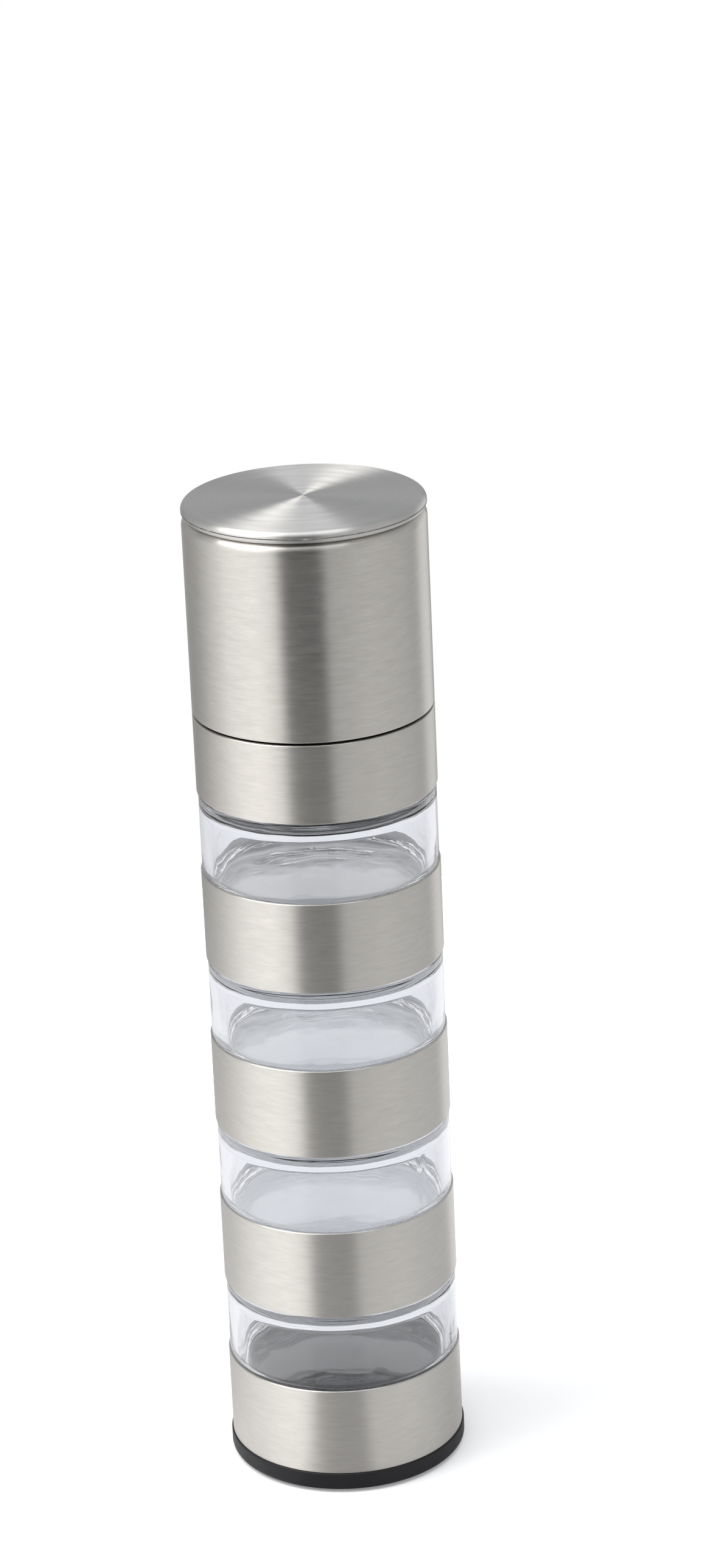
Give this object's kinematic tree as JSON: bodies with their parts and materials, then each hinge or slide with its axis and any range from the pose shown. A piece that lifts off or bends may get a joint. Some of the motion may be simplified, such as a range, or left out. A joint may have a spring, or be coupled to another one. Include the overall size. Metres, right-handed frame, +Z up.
{
  "type": "spice grinder",
  "caption": "Tower spice mill: glass jars with steel bands that stack on a black base, under a brushed steel grinder head with ceramic burrs, a winged adjuster knob and a plug-in lid.",
  "frame": {"origin": "on the tower's axis, at the surface that the base's feet stand on", "axes": "+Z up along the tower's axis, -Y towards the viewer of the picture, +X to the viewer's right"},
  "size_m": [0.0608, 0.0608, 0.2572],
  "materials": {
    "brushed_steel": "fine brushing round the axis",
    "turned_steel": "turned in fine circles",
    "bright_steel": "bright drawn",
    "clear_glass": "clear and polished",
    "black_plastic": "satin moulding",
    "natural_plastic": "milky natural moulding",
    "ceramic": "matt sintered ceramic",
    "silicone": "milky silicone",
    "foot_rubber": "matt"
  },
  "bodies": {
    "base": {"base_cap": "black_plastic", "base_feet": "foot_rubber"},
    "jar_4": {"jar_4_glass": "clear_glass", "jar_4_band": "brushed_steel", "jar_4_socket": "black_plastic", "jar_4_seal": "silicone"},
    "jar_3": {"jar_3_glass": "clear_glass", "jar_3_band": "brushed_steel", "jar_3_socket": "natural_plastic", "jar_3_seal": "silicone"},
    "jar_2": {"jar_2_glass": "clear_glass", "jar_2_band": "brushed_steel", "jar_2_socket": "natural_plastic", "jar_2_seal": "silicone"},
    "jar_1": {"jar_1_glass": "clear_glass", "jar_1_band": "brushed_steel", "jar_1_socket": "natural_plastic", "jar_1_seal": "silicone"},
    "collar": {"collar_ring": "brushed_steel", "collar_insert": "black_plastic", "head_seal": "silicone", "glide_ring": "black_plastic", "snap_ring": "bright_steel", "drive_shaft": "bright_steel", "spring_washer": "bright_steel", "burr_spring": "bright_steel"},
    "burr": {"inner_burr": "ceramic"},
    "knob": {"adjuster_knob": "black_plastic"},
    "sleeve": {"head_sleeve": "brushed_steel", "mill_housing": "black_plastic", "outer_burr": "ceramic", "burr_retainer": "black_plastic"},
    "lid": {"lid_disc": "turned_steel", "lid_plug": "black_plastic"}
  },
  "joints": [
    {"name": "jar_4_lift", "type": "slide", "parent": "base", "child": "jar_4", "axis": [0, 0, 1], "range_m": [0, 0.014]},
    {"name": "jar_3_lift", "type": "slide", "parent": "jar_4", "child": "jar_3", "axis": [0, 0, 1], "range_m": [0, 0.018]},
    {"name": "jar_2_lift", "type": "slide", "parent": "jar_3", "child": "jar_2", "axis": [0, 0, 1], "range_m": [0, 0.018]},
    {"name": "jar_1_lift", "type": "slide", "parent": "jar_2", "child": "jar_1", "axis": [0, 0, 1], "range_m": [0, 0.018]},
    {"name": "head_lift", "type": "slide", "parent": "jar_1", "child": "collar", "axis": [0, 0, 1], "range_m": [0, 0.018]},
    {"name": "grind_spin", "type": "hinge", "parent": "collar", "child": "sleeve", "pos_m": [0, 0, 0.2069], "axis": [0, 0, 1], "continuous": true},
    {"name": "lid_lift", "type": "slide", "parent": "sleeve", "child": "lid", "axis": [0, 0, 1], "range_m": [0, 0.026]},
    {"name": "burr_feed", "type": "slide", "parent": "collar", "child": "burr", "axis": [0, 0, 1], "range_m": [-0.0005, 0.0015], "deforming": ["burr_spring"]},
    {"name": "knob_turn", "type": "hinge", "parent": "burr", "child": "knob", "pos_m": [0, 0, 0.2379], "axis": [0, 0, 1], "range_deg": [-180.5, 540.5]}
  ],
  "couplings": [
    {"joint": "knob_turn", "follows": "burr_feed", "rad_per_m": 6283.2}
  ]
}
